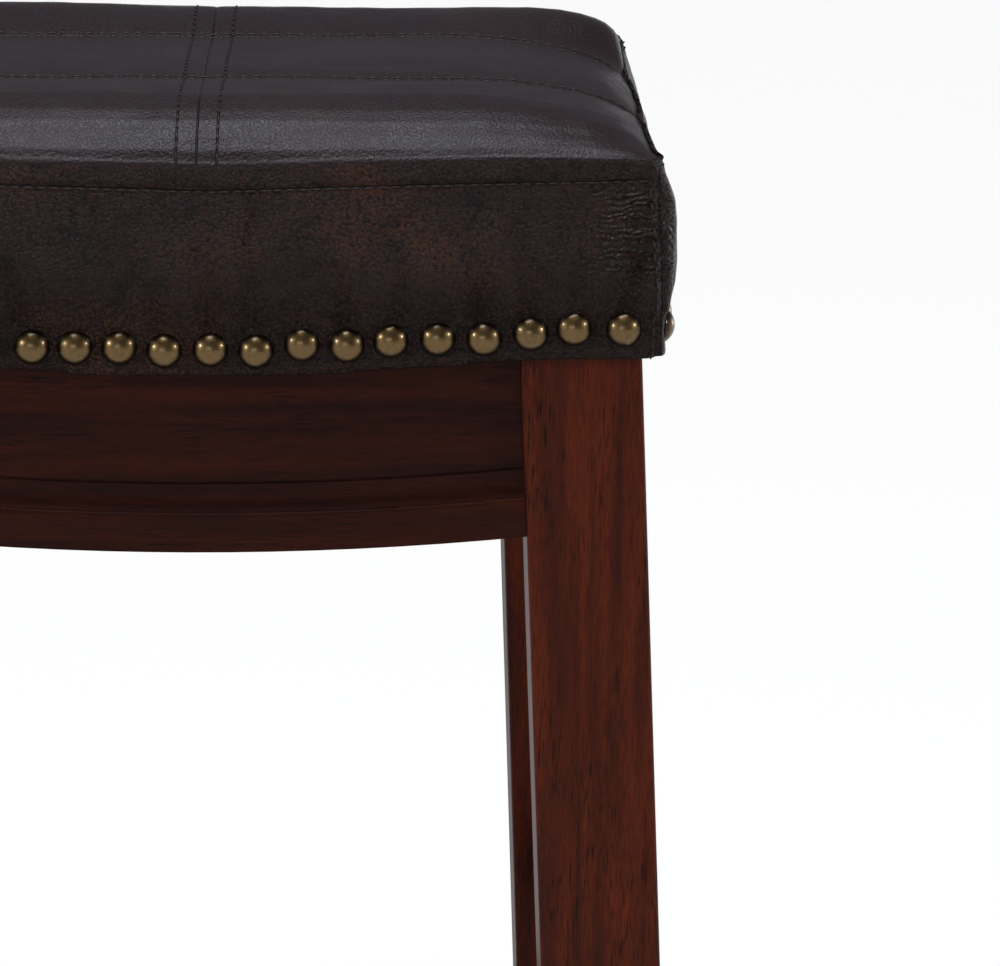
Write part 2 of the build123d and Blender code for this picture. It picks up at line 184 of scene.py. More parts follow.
studio = {
    "cameraPlace": (-74.8, -4000.0, 1463.06),   # mm
    "turnRight": 3.24,                          # degrees
    "tiltDown": 15.12,
    "rollLeft": 0.71,
    "lens": 291.6,                              # mm, on a 36 mm sensor
    "floorColour": "f4f4f2",
    "floorHalfSize": 40.0,                      # m
    "floorGlow": 0.93,
    "roomLight": 0.12,
    "roomColour": "dfeaff", "lampColour": "edf4ff",             # a touch cool
    "lamps": {
        # place and aim in mm, width and height in mm, watts
        "topSoftbox": ((-40, -80, 2650), (0, -60, 560), (1400, 1500), 82),
        "backSoftbox": ((0, 3200, 1500), (0, 0, 600), (5200, 2200), 4),
        "leftSoftbox": ((-1950, -1080, 1180), (0, 0, 480), (270, 270), 24),
        "rightSoftbox": ((2050, -800, 1080), (0, 0, 480), (250, 250), 16),
        "frontFill": ((-900, -4600, 1300), (0, 0, 350), (2600, 1200), 29),
        "backFillLeft": ((-2600, 1500, 420), (0, 0, 400), (900, 700), 12),
        "backFillRight": ((2600, 1500, 420), (0, 0, 400), (900, 700), 12),
    },
}


def setUpCamera():
    camera = bpy.data.objects.new("camera", bpy.data.cameras.new("camera"))
    bpy.context.collection.objects.link(camera)
    yaw, pitch = math.radians(studio["turnRight"]), math.radians(studio["tiltDown"])
    roll = math.radians(studio["rollLeft"])
    ahead = Vector((math.sin(yaw) * math.cos(pitch), math.cos(yaw) * math.cos(pitch), -math.sin(pitch)))
    level = Vector((math.cos(yaw), -math.sin(yaw), 0))
    upright = level.cross(ahead)
    right = math.cos(roll) * level + math.sin(roll) * upright
    up = math.cos(roll) * upright - math.sin(roll) * level
    turned = Matrix((right, up, -ahead)).transposed().to_4x4()
    camera.matrix_world = Matrix.Translation(Vector(studio["cameraPlace"]) * mm) @ turned
    camera.data.lens = studio["lens"]
    camera.data.sensor_width = 36
    camera.data.clip_end = 200
    scene.camera = camera


def setUpFloor():
    clearSelection()
    bpy.ops.mesh.primitive_plane_add(size=2 * studio["floorHalfSize"], location=(0, 0, 0))
    floor = bpy.context.active_object
    floor.name = "floor"
    applyPlace(floor)
    material, tree, shader = newMaterial("paperSweep")   # matt paper, shows as white and keeps the shadow
    setInputs(tree, shader, {"Base Color": linearColour(studio["floorColour"]), "Roughness": 0.9,
                             "Specular IOR Level": 0.0})
    path = addNode(tree, "LightPath")
    seen = addNode(tree, "Math", {0: path.outputs["Is Camera Ray"], 1: path.outputs["Is Glossy Ray"]},
                   operation="MAXIMUM")
    seen = addNode(tree, "Math", {0: seen, 1: path.outputs["Is Transmission Ray"]}, operation="MAXIMUM")
    share = addNode(tree, "Math", {0: seen, 1: studio["floorGlow"]}, operation="MULTIPLY")
    glow = addNode(tree, "Emission", {"Color": (1, 1, 1, 1), "Strength": 1.0})
    mix = addNode(tree, "MixShader", {"Fac": share, 1: shader, 2: glow})
    setInputs(tree, tree.nodes["Material Output"], {"Surface": mix})
    floor.data.materials.append(material)


def setUpLights():
    world = bpy.data.worlds.new("room")
    world.use_nodes = True
    scene.world = world
    setInputs(world.node_tree, world.node_tree.nodes["Background"],
              {"Color": linearColour(studio["roomColour"]), "Strength": studio["roomLight"]})
    for name, (place, aim, size, watts) in studio["lamps"].items():
        light = bpy.data.lights.new(name, "AREA")
        light.shape = "RECTANGLE"
        light.size, light.size_y = size[0] * mm, size[1] * mm
        light.energy = watts
        light.color = linearColour(studio["lampColour"])[:3]
        lamp = bpy.data.objects.new(name, light)
        lamp.location = Vector(place) * mm
        lamp.rotation_euler = (Vector(aim) - Vector(place)).to_track_quat("-Z", "Y").to_euler()
        lamp.visible_camera = False
        bpy.context.collection.objects.link(lamp)


setUpCamera()
setUpFloor()
setUpLights()
scene.view_settings.view_transform = "Standard"
print("camera, floor and lights set")


# Sizes that the finishes and the pieces share

seat = {
    "halfLength": 223.0, "halfWidth": 150.0, "bottom": 474.2, "saddleRise": 9.2,   # mm
    "rim": 577.2, "rimRise": 5.5, "rimInset": 3.5, "bandTop": 503.0, "flange": 25.0,
    "rowSeam": 50.0, "wrapDrop": 9.0, "nailLine": 14.5, "nailPitch": 22.4,
    "middleLean": (1.9, 0.061),   # the middle seam was sewn a little askew: shift, and shift for each mm back
}
endRim = seat["rim"] + seat["rimRise"]   # height of the end rims, mm
stitch = {   # mm
    "length": 4.4, "thickness": 1.1, "pitch": 6.4, "lift": 0.1, "rowApart": 3.0, "needleApart": 10.0,
    "underWrap": 0.9, "underRim": 3.4, "besideCorner": 2.4, "cornerTop": 570,
    "rowReach": 209, "crossReach": 143, "wrapReach": 216, "mostGap": 4,
    "above": 700, "away": 300,   # where the search for the cover starts
}


# Finishes

leather = {
    # crease is the darkest colour: pits, creases, and the painted shade along the seams
    "dark": "26120b", "warm": "40240f", "grey": "261914", "crease": "070302",
    "topSheen": "1a171a",                                                       # the top, greyer as painted sheen
    "patchSize": 85, "cloudSize": 30, "grainSize": 1.7, "creaseSize": 26, "wrinklePitch": 3.2,   # mm
    "seamWidth": 0.5, "roughness": 0.30, "specular": 0.12,
}


def waxedLeather():
    # bonded leather, waxed and rubbed: brown-black with warmer patches, pebbled grain and a dull shine
    material, tree, shader = newMaterial("waxedLeather")
    place = addNode(tree, "TexCoord").outputs["Object"]
    topSide = addNode(tree, "Attribute", attribute_name="topSide").outputs["Fac"]
    corner = addNode(tree, "Attribute", attribute_name="cornerPull").outputs["Fac"]
    edge = addNode(tree, "Attribute", attribute_name="edgeOffset").outputs["Fac"]

    onWall = addNode(tree, "Math", {0: 1.0, 1: topSide}, operation="SUBTRACT")
    patches = addNode(tree, "TexNoise", {"Vector": place, "Scale": 1000 / leather["patchSize"], "Detail": 3.0,
                                         "Distortion": 0.6})
    warmth = addNode(tree, "MapRange", {"Value": patches.outputs["Fac"], "From Min": 0.5, "From Max": 0.7,
                                        "To Max": 0.75})
    kept = addNode(tree, "MapRange", {"Value": topSide, "To Min": 1.0, "To Max": 0.35})
    warmth = addNode(tree, "Math", {0: warmth, 1: kept}, operation="MULTIPLY")
    cloud = addNode(tree, "TexNoise", {"Vector": place, "Scale": 1000 / leather["cloudSize"], "Detail": 6.0,
                                       "Roughness": 0.62})
    greyness = addNode(tree, "MapRange", {"Value": cloud.outputs["Fac"], "From Min": 0.46, "From Max": 0.7,
                                          "To Max": 0.7})
    tone = addNode(tree, "Mix", {0: warmth, 6: linearColour(leather["dark"]),
                                 7: linearColour(leather["warm"])}, data_type="RGBA")
    # painted sheen: the top is mixed towards a greyer colour, as the lamps' sheen shows there
    topSheen = addNode(tree, "Math", {0: topSide, 1: 0.6}, operation="MULTIPLY")
    # pebbled grain: darker between the pebbles, and stretched flat on the top
    grain = addNode(tree, "TexVoronoi", {"Vector": place, "Scale": 1000 / leather["grainSize"]}, feature="F1")
    fine = addNode(tree, "TexNoise", {"Vector": place, "Scale": 2600 / leather["grainSize"], "Detail": 2.0})
    pebble = addNode(tree, "Math", {0: grain.outputs["Distance"], 1: fine.outputs["Fac"]},
                     operation="MULTIPLY")
    pit = addNode(tree, "MapRange", {"Value": pebble, "From Min": 0.14, "From Max": 0.42})
    flat = addNode(tree, "MapRange", {"Value": topSide, "To Min": 0.95, "To Max": 0.2})
    pit = addNode(tree, "Math", {0: pit, 1: flat}, operation="MULTIPLY")
    # long soft creases that wander and break off
    sway = addNode(tree, "TexNoise", {"Vector": place, "Scale": 45.0, "Detail": 4.0})
    shift = addNode(tree, "VectorMath", {0: sway.outputs["Color"], 1: (0.02, 0.02, 0.02)},
                    operation="MULTIPLY")
    swayed = addNode(tree, "VectorMath", {0: place, 1: shift}, operation="ADD")
    creases = addNode(tree, "TexVoronoi", {"Vector": swayed, "Scale": 1000 / leather["creaseSize"]},
                      feature="DISTANCE_TO_EDGE")
    line = addNode(tree, "MapRange", {"Value": creases.outputs["Distance"], "From Min": 0.0, "From Max": 0.07,
                                      "To Min": 0.7, "To Max": 0.0})
    where = addNode(tree, "MapRange", {"Value": cloud.outputs["Fac"], "From Min": 0.48, "From Max": 0.62})
    creased = addNode(tree, "Math", {0: line, 1: where}, operation="MULTIPLY")
    creased = addNode(tree, "Math", {0: creased, 1: onWall}, operation="MULTIPLY")
    # fine wrinkles run in from the corner seams, across the pull of the cover
    parts = addNode(tree, "SeparateXYZ", {0: swayed})
    wave = addNode(tree, "Math", {0: parts.outputs["Z"], 1: 2 * math.pi * 1000 / leather["wrinklePitch"]},
                   operation="MULTIPLY")
    wave = addNode(tree, "Math", {0: wave}, operation="SINE")
    ripple = addNode(tree, "Math", {0: wave, 1: corner}, operation="MULTIPLY")
    # seams as fine dark lines, painted shade of their grooves: rows and middle on top, and wrap, end rims and
    # corners on the walls
    parts = addNode(tree, "SeparateXYZ", {0: place})
    alongX = addNode(tree, "Math", {0: parts.outputs["X"]}, operation="ABSOLUTE")
    lean = addNode(tree, "Math", {0: parts.outputs["Y"], 1: -seat["middleLean"][1],
                                  2: -seat["middleLean"][0] * mm}, operation="MULTIPLY_ADD")
    fromMiddle = addNode(tree, "Math", {0: parts.outputs["X"], 1: lean}, operation="ADD")
    fromMiddle = addNode(tree, "Math", {0: fromMiddle}, operation="ABSOLUTE")
    alongY = addNode(tree, "Math", {0: parts.outputs["Y"]}, operation="ABSOLUTE")
    corners = addNode(tree, "Math", {0: alongX, 1: alongY}, operation="SUBTRACT")
    edgeLine = addNode(tree, "Math", {0: edge, 1: mm}, operation="MULTIPLY")
    # the seam lines' dark colour is painted shade of grooves too fine for the mesh
    sewn = None
    for source, offset, mask in ((alongY, seat["rowSeam"], topSide), (fromMiddle, 0.0, topSide),
                                 (fromMiddle, stitch["needleApart"], topSide), (edgeLine, 0.0, onWall),
                                 (corners, seat["halfLength"] - seat["halfWidth"], onWall)):
        away = addNode(tree, "Math", {0: source, 1: offset * mm}, operation="SUBTRACT")
        away = addNode(tree, "Math", {0: away}, operation="ABSOLUTE")
        near = addNode(tree, "MapRange", {"Value": away, "From Min": 0.3 * leather["seamWidth"] * mm,
                                          "From Max": 1.4 * leather["seamWidth"] * mm, "To Min": 0.9,
                                          "To Max": 0.0})
        near = addNode(tree, "Math", {0: near, 1: mask}, operation="MULTIPLY")
        sewn = near if sewn is None else addNode(tree, "Math", {0: sewn, 1: near}, operation="MAXIMUM")
    # greyer in clouds, greyer on top as painted sheen, darker in pits and creases, and painted shade along the
    # seams
    for share, shade in ((greyness, "grey"), (topSheen, "topSheen"), (pit, "crease"), (creased, "crease"),
                         (sewn, "crease")):
        tone = addNode(tree, "Mix", {0: share, 6: tone.outputs[2], 7: linearColour(leather[shade])},
                       data_type="RGBA")
    # relief, one layer on the other: height, strength, depth in m, and whether it goes in
    relief = {}
    for height, strength, depth, inward in ((pit, 0.9, 0.0008, True), (creased, 0.7, 0.0015, True),
                                            (ripple, 0.9, 0.001, False), (sewn, 0.8, 0.0006, True)):
        bump = addNode(tree, "Bump", {"Height": height, "Strength": strength, "Distance": depth, **relief},
                       invert=inward)
        relief = {"Normal": bump}
    # glossier on high spots and where the corners are pulled tight
    gloss = addNode(tree, "MapRange", {"Value": cloud.outputs["Fac"], "From Min": 0.3, "From Max": 0.7,
                                       "To Min": leather["roughness"] - 0.05,
                                       "To Max": leather["roughness"] + 0.1})
    polish = addNode(tree, "Math", {0: corner, 1: -0.14, 2: gloss}, operation="MULTIPLY_ADD")
    setInputs(tree, shader, {"Base Color": tone.outputs[2], "Roughness": polish, "Normal": bump,
                             "Specular IOR Level": leather["specular"]})
    return material


wood = {
    "light": "56200d", "mid": "38150a", "dark": "100604",
    "poreWidth": 1.0, "poreLength": 15.0, "bandWidth": 9.0, "bandLength": 180.0,   # mm
    "fibreWidth": 0.55, "fibreLength": 16.0,
    "roughness": 0.44, "specular": 0.07,
}


def stainedWood(name, along, darkening=1.0):
    # open-pored hardwood, stained mahogany and lacquered: dark short pores in long soft ribbons
    material, tree, shader = newMaterial(name)
    place = addNode(tree, "TexCoord").outputs["Object"]

    def stretched(across, length):
        return addNode(tree, "Mapping",
                       {"Vector": place,
                        "Scale": [1000 / (length if axis == along else across) for axis in range(3)]})

    ribbons = addNode(tree, "TexNoise", {"Vector": stretched(wood["bandWidth"], wood["bandLength"]),
                                         "Scale": 1.0, "Detail": 4.0, "Distortion": 0.3})
    pores = addNode(tree, "TexNoise", {"Vector": stretched(wood["poreWidth"], wood["poreLength"]),
                                       "Scale": 1.0, "Detail": 2.0})
    fibres = addNode(tree, "TexNoise", {"Vector": stretched(wood["fibreWidth"], wood["fibreLength"]),
                                        "Scale": 1.0, "Detail": 3.0, "Roughness": 0.6})
    blotches = addNode(tree, "TexNoise", {"Vector": stretched(22.0, 60.0), "Scale": 1.0})
    depth = addNode(tree, "MapRange", {"Value": pores.outputs["Fac"], "From Min": 0.52, "From Max": 0.66})
    patchy = addNode(tree, "MapRange", {"Value": blotches.outputs["Fac"], "From Min": 0.35, "From Max": 0.6,
                                        "To Min": 0.2, "To Max": 0.9})
    dark = addNode(tree, "Math", {0: depth, 1: patchy}, operation="MULTIPLY")
    band = addNode(tree, "MapRange", {"Value": ribbons.outputs["Fac"], "From Min": 0.35, "From Max": 0.65})
    # the darkening factor scales both wood colours down; the rails' copies below are partly a darker wood tone
    # and partly painted shade
    tone = addNode(tree, "Mix", {0: band, 6: [c * darkening for c in linearColour(wood["mid"])],
                                 7: [c * darkening for c in linearColour(wood["light"])]}, data_type="RGBA")
    grain = addNode(tree, "MapRange", {"Value": fibres.outputs["Fac"], "From Min": 0.42, "From Max": 0.66,
                                       "To Max": 0.5})
    dark = addNode(tree, "Math", {0: dark, 1: grain}, operation="MAXIMUM")
    tone = addNode(tree, "Mix", {0: dark, 6: tone.outputs[2], 7: linearColour(wood["dark"])},
                   data_type="RGBA")
    bump = addNode(tree, "Bump", {"Height": dark, "Strength": 0.25, "Distance": 0.0002}, invert=True)
    setInputs(tree, shader, {"Base Color": tone.outputs[2], "Normal": bump, "Roughness": wood["roughness"],
                             "Specular IOR Level": wood["specular"]})
    return material


plainWood = {
    "block": ("b08a5c", "8d6a42"), "plywood": ("c2a072", "a07c50"),
    "grainWidth": 3.0, "grainLength": 60.0, "veneer": 1.5,   # mm
}


def rawWood(name, colours, along):
    # planed softwood or birch veneer, left bare where nobody sees it: pale, dull, faint grain
    material, tree, shader = newMaterial(name)
    place = addNode(tree, "TexCoord").outputs["Object"]
    width, length = plainWood["grainWidth"], plainWood["grainLength"]
    scale = [1000 / (length if axis == along else width) for axis in range(3)]
    if along == 0:
        scale[2] = 1000 / plainWood["veneer"]   # veneers show as thin layers at the edge
    mapped = addNode(tree, "Mapping", {"Vector": place, "Scale": scale})
    grain = addNode(tree, "TexNoise", {"Vector": mapped, "Scale": 1.0, "Detail": 4.0})
    band = addNode(tree, "MapRange", {"Value": grain.outputs["Fac"], "From Min": 0.35, "From Max": 0.65})
    tone = addNode(tree, "Mix", {0: band, 6: linearColour(colours[0]), 7: linearColour(colours[1])},
                   data_type="RGBA")
    bump = addNode(tree, "Bump", {"Height": grain.outputs["Fac"], "Strength": 0.2, "Distance": 0.0002})
    setInputs(tree, shader, {"Base Color": tone.outputs[2], "Normal": bump, "Roughness": 0.7})
    return material


metals = {
    "brass": "66502f", "patina": "20160b", "zinc": "9b9da0", "patchSize": 2.2,   # mm
}


def antiqueBrass():
    # brassed steel, darkened and rubbed back: golden crown, brown towards the rim
    material, tree, shader = newMaterial("antiqueBrass")
    place = addNode(tree, "TexCoord").outputs["Object"]
    spots = addNode(tree, "TexNoise", {"Vector": place, "Scale": 1000 / metals["patchSize"], "Detail": 4.0,
                                       "Roughness": 0.6})
    rim = addNode(tree, "Attribute", attribute_name="rim")
    amount = addNode(tree, "Math", {0: spots.outputs["Fac"], 1: rim.outputs["Fac"]}, operation="ADD")
    darkening = addNode(tree, "MapRange", {"Value": amount, "From Min": 0.5, "From Max": 1.35})
    tone = addNode(tree, "Mix", {0: darkening, 6: linearColour(metals["brass"]),
                                 7: linearColour(metals["patina"])}, data_type="RGBA")
    dull = addNode(tree, "MapRange", {"Value": spots.outputs["Fac"], "From Min": 0.3, "From Max": 0.7,
                                      "To Min": 0.32, "To Max": 0.44})
    bump = addNode(tree, "Bump", {"Height": spots.outputs["Fac"], "Strength": 0.06, "Distance": 0.0002})
    # the coat is clear lacquer, for the small white lights
    setInputs(tree, shader, {"Base Color": tone.outputs[2], "Roughness": dull, "Normal": bump, "Metallic": 1.0,
                             "Coat Weight": 0.35, "Coat Roughness": 0.1})
    return material


def zincSteel():
    # zinc-plated steel: pale grey, slightly mottled, half dull
    material, tree, shader = newMaterial("zincPlatedSteel")
    place = addNode(tree, "TexCoord").outputs["Object"]
    spots = addNode(tree, "TexNoise", {"Vector": place, "Scale": 500.0, "Detail": 4.0})
    dull = addNode(tree, "MapRange", {"Value": spots.outputs["Fac"], "To Min": 0.25, "To Max": 0.5})
    setInputs(tree, shader, {"Base Color": linearColour(metals["zinc"]), "Roughness": dull, "Metallic": 1.0})
    return material


smallStuff = {
    # moulded polythene glides: black, faintly pebbled, dull
    "mouldedPolythene": {"colour": "17171a", "pattern": "TexNoise", "Scale": 1400.0, "Detail": 2.0,
                         "relief": (0.2, 0.0001), "roughness": 0.55, "specular": 0.5},
    # bonded nylon thread: brown-black with a slight shine along each twist
    "waxedThread": {"colour": "251c1a", "pattern": "TexNoise", "Scale": 1800.0, "Detail": 1.0,
                    "relief": (0.4, 0.0001), "roughness": 0.45, "specular": 0.2},
    # spun-bonded dust cloth: flat black with fibres pressed 0.9 mm apart
    "spunBondedCloth": {"colour": "1b1b1d", "pattern": "TexVoronoi", "Scale": 1000 / 0.9, "Detail": 0.0,
                        "relief": (0.4, 0.0003), "roughness": 0.95, "specular": 0.5},
}


def smallFinish(name):
    stuff = smallStuff[name]
    material, tree, shader = newMaterial(name)
    place = addNode(tree, "TexCoord").outputs["Object"]
    pattern = addNode(tree, stuff["pattern"], {"Vector": place, "Scale": stuff["Scale"],
                                               "Detail": stuff["Detail"]})
    strength, depth = stuff["relief"]
    bump = addNode(tree, "Bump", {"Height": pattern, "Strength": strength, "Distance": depth})
    setInputs(tree, shader, {"Base Color": linearColour(stuff["colour"]), "Roughness": stuff["roughness"],
                             "Specular IOR Level": stuff["specular"], "Normal": bump})
    return material


leatherFinish = waxedLeather()
legWood = stainedWood("stainedHardwoodUpright", 2)
# the rails and stretchers get a darker copy of the leg wood: partly a darker wood tone, partly painted shade
# from the seat above
longRailShadedWood = stainedWood("stainedHardwoodLongShaded", 0, 0.42)
sideRailShadedWood = stainedWood("stainedHardwoodSideShaded", 1, 0.42)
blockWood = rawWood("planedPine", plainWood["block"], 1)
boardWood = rawWood("birchPlywood", plainWood["plywood"], 0)
brassFinish, steelFinish = antiqueBrass(), zincSteel()
plasticFinish, threadFinish, clothFinish = (smallFinish(name) for name in smallStuff)


def finishNode(name, material):
    for slot in nodes[name].material_slots:
        slot.link = "OBJECT"
        slot.material = material


finishByStart = {
    "leg_": legWood, "apron_front": longRailShadedWood, "apron_back": longRailShadedWood, "apron_left": sideRailShadedWood,
    "apron_right": sideRailShadedWood, "stretcher_front": longRailShadedWood, "stretcher_back": longRailShadedWood,
    "stretcher_left": sideRailShadedWood, "stretcher_right": sideRailShadedWood, "corner_block": blockWood,
    "seat_board": boardWood, "corner_bolts": steelFinish, "seat_screws": steelFinish, "glide_": plasticFinish,
}
for nodeName in nodes:
    for start, material in finishByStart.items():
        if nodeName.startswith(start):
            finishNode(nodeName, material)
print("finishes made")


# Cushion: one sewn leather skin over the foam, swelled by a short cloth run and then shaped

cushion = {
    "voxel": 4.0, "pressure": 4.0, "frames": 20, "mostSwell": 2.5,   # mm
    "thickness": 1.4,
    "cornerFullness": 0.18, "frontFullnessPower": 6.0, "frontSwell": 0.6, "wallFullness": 0.35,
    # reach of the end rims and swell of the end walls, from the middle of a side to its corners
    "sidePlaces": (0, 42, 97, 125, 138, 146, 150),
    "rimReach": (219.0, 218.2, 218.0, 219.4, 222.0, 222.8, 223.0),
    "sideSwell": (4.6, 5.0, 6.6, 7.4, 6.2, 2.4, 0.0),
    "swellHeights": (474, 480, 487, 497, 508, 518, 528, 538, 548, 558, 568, 575, 583),
    "swellShares": (0.0, 0.25, 0.3, 0.15, 0.45, 0.78, 0.92, 0.97, 1.0, 0.88, 0.55, 0.22, 0.0),
    "roundHeights": (474, 500, 520, 555, 580), "cornerRound": (2.0, 2.5, 7.0, 9.0, 12.0),
    # heights of the front and back fold, from the middle to the end
    "foldPlaces": (0, 68, 141, 190, 223), "foldHeights": (577.5, 579.6, 581.4, 582.2, 583.2),
    # how the top falls to the end rims: share of the way out, share of the fall
    "fallPlaces": (0.62, 0.70, 0.77, 0.85, 0.90, 0.93, 0.96, 0.985, 1.0),
    "frontFall": (0.0, 0.05, 0.14, 0.28, 0.44, 0.57, 0.75, 0.92, 1.0),
    "backFall": (0.0, 0.0, 0.0, 0.05, 0.13, 0.22, 0.35, 0.55, 1.0),
    # height of the crown against the level of its seams
    "crownPlaces": (-223, -150, -104, 0, 100, 140, 223),
    "crownTrim": (-1.2, -0.6, -0.4, -0.9, -1.4, -1.6, -1.4),
    "crownMiddle": 40, "crownStep": 3, "crownWindow": 2.2, "crownKnots": (-147, -100, -50, 50, 95, 147),
    "rowEdge": 95, "rowFlatness": 0.5,
    "backCrown": (3.2, 92, 30), "leftCrest": (2.2, 104, 220, 34),
    # how far the surface has to face a way, from and to, to count as that side
    "facing": {"up": (0.2, 0.7), "top": (0.25, 0.45), "wall": (0.35, 0.8), "end": (0.25, 0.7)},
    "rowGroove": (0.9, 1.6), "rowValley": (0.5, 9.0),        # depth and width
    "centreGroove": (0.35, 1.6), "centreValley": (0.2, 9.0),
    "wrapGroove": (0.7, 1.6), "rimGroove": (0.9, 1.8), "cornerGroove": (1.4, 1.9),
    "nailPull": 3.0, "nailPuff": 1.8, "nailDent": (0.4, 8.5), "nailLean": 0.3,
    "deepest": 0.9, "deeperAboveBoard": 4.0, "boardTop": (33, 42),
    "cornerFrom": (207, 137, 562), "cornerSmoothing": 6,
    "waves": ((48.0, 0.7), (19.0, 0.35), (8.0, 0.12)),       # size and height
    "cornerFolds": (0.3, 8.5, 0.12),                         # depth, pitch and slant
    # long creases of the front wall: ends in x and z, depth and width
    "frontCreases": (
        (-58, 566, -49, 528, 1.0, 2.2), (-49, 560, -38, 536, 0.8, 2.0), (20, 563, 22, 520, 1.0, 2.2),
        (101, 561, 84, 546, 0.9, 2.0), (60, 533, 28, 523, 0.7, 3.0), (150, 548, 171, 512, 0.8, 3.5),
        (-150, 560, -138, 530, 0.9, 2.2), (168, 503, 196, 520, -0.9, 5.0), (176, 560, 170, 538, 0.7, 2.0)),
}


def saddle(x):
    # hollow in the middle, turning over a quarter of the way in from each end
    quarter, rise = seat["halfLength"] / 2, seat["saddleRise"]
    radius = (quarter ** 2 + rise ** 2 / 4) / rise
    reach = np.minimum(np.abs(x), seat["halfLength"])
    hollow = radius - np.sqrt(radius ** 2 - np.minimum(reach, quarter) ** 2)
    fromEnd = seat["halfLength"] - np.maximum(reach, quarter)
    crest = rise - (radius - np.sqrt(radius ** 2 - fromEnd ** 2))
    return np.where(reach <= quarter, hollow, crest)


def rimHeight(x):
    return seat["rim"] + seat["rimRise"] * (np.minimum(np.abs(x), seat["halfLength"]) / seat["halfLength"]) ** 2


def middleSeam(y):
    return seat["middleLean"][0] + seat["middleLean"][1] * y


def foldHeight(x):
    return np.interp(np.abs(x), cushion["foldPlaces"], cushion["foldHeights"])


def nailOffsets(halfSpan):
    steps = int((halfSpan - 15) / seat["nailPitch"])
    return [step * seat["nailPitch"] for step in range(-steps, steps + 1)]


def joinedSkin():
    core = [name for name in nodes if name.startswith(("top_patch", "boxing", "seat_foam", "seat_board"))]
    skin = joinCopies("seatCover", [nodes[name].data for name in core], [Matrix()] * len(core))
    skin.data.materials.clear()
    bpy.ops.object.mode_set(mode="EDIT")
    bpy.ops.mesh.select_all(action="SELECT")
    bpy.ops.mesh.remove_doubles(threshold=0.00001)
    bpy.ops.object.mode_set(mode="OBJECT")
    applyModifier(skin, "REMESH", mode="VOXEL", voxel_size=cushion["voxel"] * mm)
    return skin


def keepOuterShell(skin):
    # the remesh may leave closed pockets inside, where two pieces of the core meet
    heights = readPoints(skin)[:, 2]
    pick(skin, "VERT", np.arange(len(heights)) == np.argmax(heights))
    bpy.ops.mesh.select_linked()
    bpy.ops.mesh.select_all(action="INVERT")
    bpy.ops.mesh.delete(type="VERT")
    bpy.ops.object.mode_set(mode="OBJECT")


def heldShares(points):
    # 1 where thread, nails or the board hold the leather, 0 where the foam can push it out
    x, y, z = (points / mm).T
    held = np.maximum(1 - ease(18, 34, z - seat["bottom"] - saddle(x)), bell(np.abs(y) - seat["rowSeam"], 6))
    held = np.maximum(held, bell(x, 6))
    rim = bell(z - rimHeight(x), 6)
    return np.clip(np.maximum(held, rim), 0, 1)


def swell(skin):
    before = readPoints(skin)
    group = skin.vertex_groups.new(name="held")
    for index, share in enumerate(heldShares(before)):
        group.add([index], float(share), "REPLACE")
    cloth = skin.modifiers.new("fill", "CLOTH")
    settings = cloth.settings
    settings.quality = 5
    settings.use_pressure = True
    settings.uniform_pressure_force = cushion["pressure"]
    settings.effector_weights.gravity = 0
    settings.vertex_group_mass = "held"
    settings.tension_stiffness = settings.compression_stiffness = 15
    settings.bending_stiffness = 2
    for step in range(1, cushion["frames"] + 1):
        scene.frame_set(step)
    makeActive(skin)
    bpy.ops.object.modifier_apply(modifier=cloth.name)
    moved = readPoints(skin) - before
    reach = np.linalg.norm(moved, axis=1, keepdims=True)
    limit = cushion["mostSwell"] * mm
    writePoints(skin, before + moved * limit / (limit + reach))   # eases off towards the limit
    scene.frame_set(1)
    skin.vertex_groups.clear()


def groove(distance, name):
    depth, width = cushion[name]
    return depth * bell(distance, width)


def wallReach(x, y, z, normals):
    # how far the walls stand out: drawn in at the rim and the corners, full between them
    ax, ay = np.abs(x), np.abs(y)
    rise = np.clip((z - seat["bandTop"]) / (seat["rim"] - seat["bandTop"]), 0, 1)
    baseX, baseY = seat["halfLength"] - seat["rimInset"] * rise, seat["halfWidth"] - seat["rimInset"] * rise
    # the front and back walls are full in the middle, nearly flat at the corner seams, and upright at the fold
    least = cushion["cornerFullness"]
    fade = 1 - np.clip(ax / seat["halfLength"], 0, 1) ** cushion["frontFullnessPower"]
    upright = 1 - (1 - cushion["wallFullness"]) * ease(512, 576, z)
    frontFull = (least + (1 - least) * fade) * cushion["frontSwell"] * upright
    newY = np.where(ay > baseY, baseY + (ay - baseY) * frontFull, ay)
    # the end walls swell out just under the rim and stay out down to the nails
    rimX = np.interp(ay, cushion["sidePlaces"], cushion["rimReach"])
    swelling = np.interp(ay, cushion["sidePlaces"], cushion["sideSwell"]) * (1 - 0.2 * ease(30, 110, y))
    wallX = rimX + (seat["halfLength"] - rimX) * ease(2, 24, endRim - z)
    wallX += swelling * np.interp(z, cushion["swellHeights"], cushion["swellShares"])
    onEnd = ease(*cushion["facing"]["end"], np.abs(normals[:, 0])) * ease(200, 212, ax)
    newX = np.where(ax > baseX, baseX + (ax - baseX) * least, ax)
    newX += (rimX - seat["halfLength"] + seat["rimInset"]) * ease(560, 578, z) * ease(120, 216, ax)
    newX += (wallX - newX) * onEnd
    # rounded corners, tighter low down
    radius = np.interp(z, cushion["roundHeights"], cushion["cornerRound"])
    pastX, pastY = newX - (wallX - radius), newY - (baseY - radius)
    inCorner = (pastX > 0) & (pastY > 0)
    shrink = np.maximum(pastX, pastY) / np.maximum(np.hypot(pastX, pastY), 1e-6)
    newX = np.where(inCorner, newX - pastX * (1 - shrink), newX)
    newY = np.where(inCorner, newY - pastY * (1 - shrink), newY)
    return newX, newY, rimX


